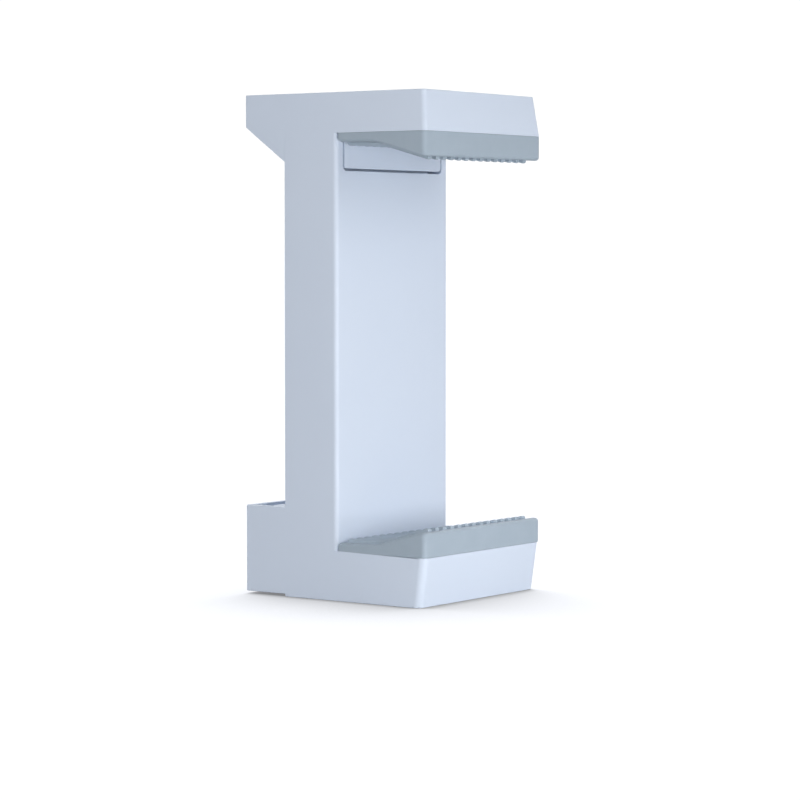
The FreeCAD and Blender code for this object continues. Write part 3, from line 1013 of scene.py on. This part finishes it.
@dataclass
class Studio:
    """A plain white floor under soft light, and the camera at the photograph's viewing angle."""

    yaw: float = 55.59
    pitch: float = 2.867
    lens: float = 135.92
    sensor: float = 36.0
    clipping: tuple[float, float] = (0.01, 200.0)
    eye: tuple[float, float, float] = (-401.027, -275.927, 55.484)
    """The camera's place, as place takes it."""
    paper: str = "#9FA0A2"
    """What the floor throws back at the clip."""
    white: str = "#F8FAFF"
    """What the camera sees of the floor."""
    floor_side: float = 80.0
    floor_middle: tuple[float, float, float] = (10.0, -3.0, 0.0)
    # In metres. The clip stands away from the plane's diagonal, where its painted shadow would show a faint line.
    """In metres. The clip stands away from the plane's diagonal, where its shadow would show a faint line."""
    lean: tuple[float, float, float] = (0.58, 0.41, 0.7)
    # Which way the floor looks for what shades it in its painted shadow: up, and away from the camera.
    """Which way the floor looks for what shades it: up, and away from the camera."""
    shadow_reach: float = 65.0
    # How far in front of the clip the painted shadow darkens the floor, in millimetres.
    """How far in front of the clip the floor darkens, in millimetres."""
    shadow_depth: float = 0.3
    shadow_open: float = 1.12
    """The floor's brightness where nothing shades it."""
    contact_shadow_reach: float = 3.0
    # Reach of the painted contact shadow, a dark line right at the foot, in millimetres.
    """Reach of the dark line right at the foot, in millimetres."""
    contact_shadow_depth: float = 0.42
    sky_light: float = 0.2
    sky_seen: float = 1.05
    """The brightness that the camera sees behind the clip."""

    def camera(self) -> None:
        """Set the camera that the clip's edges in the photograph were fitted to."""
        data = bpy.data.cameras.new("camera")
        data.lens, data.sensor_width = self.lens, self.sensor
        data.clip_start, data.clip_end = self.clipping
        camera = bpy.data.objects.new("camera", data)
        camera.location = place(*self.eye)
        camera.rotation_euler = (math.radians(90 - self.pitch), 0, math.radians(-self.yaw))
        bpy.context.scene.collection.objects.link(camera)
        bpy.context.scene.camera = camera

    def floor(self) -> None:
        """Lay the floor: white to the eye with a painted soft shadow at the clip's foot, and a dim reflector for the
        lamps.
        """
        deselect_all()
        bpy.ops.mesh.primitive_plane_add(size=self.floor_side, location=self.floor_middle)
        floor = bpy.context.object
        floor.name = "floor"
        made, tree, paper = new_material("matte_white_paper")
        paper.inputs["Base Color"].default_value = linear(self.paper)
        paper.inputs["Roughness"].default_value = 0.8
        lean = add_node(tree, "ShaderNodeCombineXYZ", X=self.lean[0], Y=self.lean[1], Z=self.lean[2])
        # Painted shadow: ambient occlusion darkens the white that the camera sees, as a soft shadow in front of the
        # clip and a dark line at its foot. The lamps cast neither.
        painted_shades = {}
        for number, (reach, seen, shown) in enumerate((
            (self.shadow_reach, (0.0, 0.9), (self.shadow_depth, self.shadow_open)),
            (self.contact_shadow_reach, (0.1, 0.8), (self.contact_shadow_depth, 1.0)),
        )):
            near = add_node(tree, "ShaderNodeAmbientOcclusion", {"Normal": lean.outputs["Vector"]}, samples=16,
                            Distance=reach * MM)
            shade = add_node(tree, "ShaderNodeMapRange", {"Value": near.outputs["AO"]},
                             From_Min=seen[0], From_Max=seen[1], To_Min=shown[0], To_Max=shown[1])
            painted_shades[number] = shade.outputs["Result"]
        painted_shadow = add_node(tree, "ShaderNodeMath", painted_shades, operation="MULTIPLY")
        glow = add_node(tree, "ShaderNodeEmission", {"Strength": painted_shadow.outputs["Value"]}, Color=linear(self.white))
        path = add_node(tree, "ShaderNodeLightPath")
        mixed = add_node(tree, "ShaderNodeMixShader", {"Fac": path.outputs["Is Camera Ray"],
                                                       1: paper.outputs["BSDF"], 2: glow.outputs["Emission"]})
        tree.links.new(mixed.outputs["Shader"], tree.get_output_node("ALL").inputs["Surface"])
        floor.data.materials.append(made)

    def sky(self) -> None:
        """Light everything softly from all round, with a white ground behind."""
        world = bpy.data.worlds.new("studio")
        bpy.context.scene.world = world
        world.use_nodes = True
        tree = world.node_tree
        tree.nodes.clear()
        soft = add_node(tree, "ShaderNodeBackground", Color=linear("#FFFFFF"), Strength=self.sky_light)
        white = add_node(tree, "ShaderNodeBackground", Color=linear("#FFFFFF"), Strength=self.sky_seen)
        path = add_node(tree, "ShaderNodeLightPath")
        mixed = add_node(tree, "ShaderNodeMixShader", {"Fac": path.outputs["Is Camera Ray"],
                                                       1: soft.outputs["Background"], 2: white.outputs["Background"]})
        add_node(tree, "ShaderNodeOutputWorld", {"Surface": mixed.outputs["Shader"]})

    def build(self) -> None:
        """Set the stage."""
        self.camera()
        self.floor()
        self.sky()
        for softbox in SOFTBOXES:
            softbox.build()
        bpy.context.scene.view_settings.view_transform = "Standard"


def main() -> None:
    """Build every piece and set the stage."""
    logging.basicConfig(level=logging.INFO, format="%(message)s")
    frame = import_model()
    Studio().build()
    palette = Palette()
    # Where the jaw sits on the column's top, and where its beak meets the column's rear face.
    top_seam, rear_seam = band(17, (0, 11), (73.5, 73.7)), band(17, (10.6, 10.8), (69.2, 73.7))
    # The rear block's top, whose step is too low for two roundings, and the beak's upright rear edges.
    block_top, beak_edges = band(14.1, (9, 18), (13.9, 14.4)), band(14.6, (18.3, 19), (74.98, 79.95))
    # The beak's front face, before and after it moves up to the column.
    beak_front, beak_moved = band(17, (10.85, 10.95), (69, 73.7)), band(17, (10.6, 10.8), (69, 73.7))
    for softened in (
        SoftenedNode("body_shell", "housing_shell", Body.HOUSING, Slot.PLASTIC, 0.15, cuts=(69.2,),
                     crisp=(top_seam, rear_seam, block_top)),
        SoftenedNode("rear_cover", "channel_cover", Body.HOUSING, Slot.PLASTIC, 0.1),
        SoftenedNode("upper_jaw", "upper_jaw_shell", Body.SLIDER, Slot.PLASTIC, 0.15,
                     crisp=(band(17, (-18, 10.8), (73.5, 73.7)), beak_moved, beak_edges), nudge=(*beak_front, -0.16)),
        SoftenedNode("cover_screws", "pan_head_screws", Body.HOUSING, Slot.STEEL, 0.08),
        SoftenedNode("lower_spring_pin", "lower_cross_pin", Body.HOUSING, Slot.STEEL, 0.2),
        SoftenedNode("upper_spring_pin", "upper_cross_pin", Body.SLIDER, Slot.STEEL, 0.2),
    ):
        softened.build(frame, palette)
    RibbedPad("lower_pad", "lower_rubber_pad", Body.HOUSING, seat=7.8, away=1).build(palette)
    RibbedPad("upper_pad", "upper_rubber_pad", Body.SLIDER, seat=73.6, away=-1).build(palette)
    ThreadedInsert("tripod_insert", "tripod_thread_insert", Vector((0, 0, 0))).build(palette)
    ThreadedInsert("rear_insert", "rear_thread_insert", place(0, 18.85, 7.35), rearward=True).build(palette)
    for node, name, across in (("spring_left", "left_spring", -6.25), ("spring_right", "right_spring", 6.25)):
        ExtensionSpring(node, name, across).build(palette)
    deselect_all()


if __name__ == "__main__":
    main()
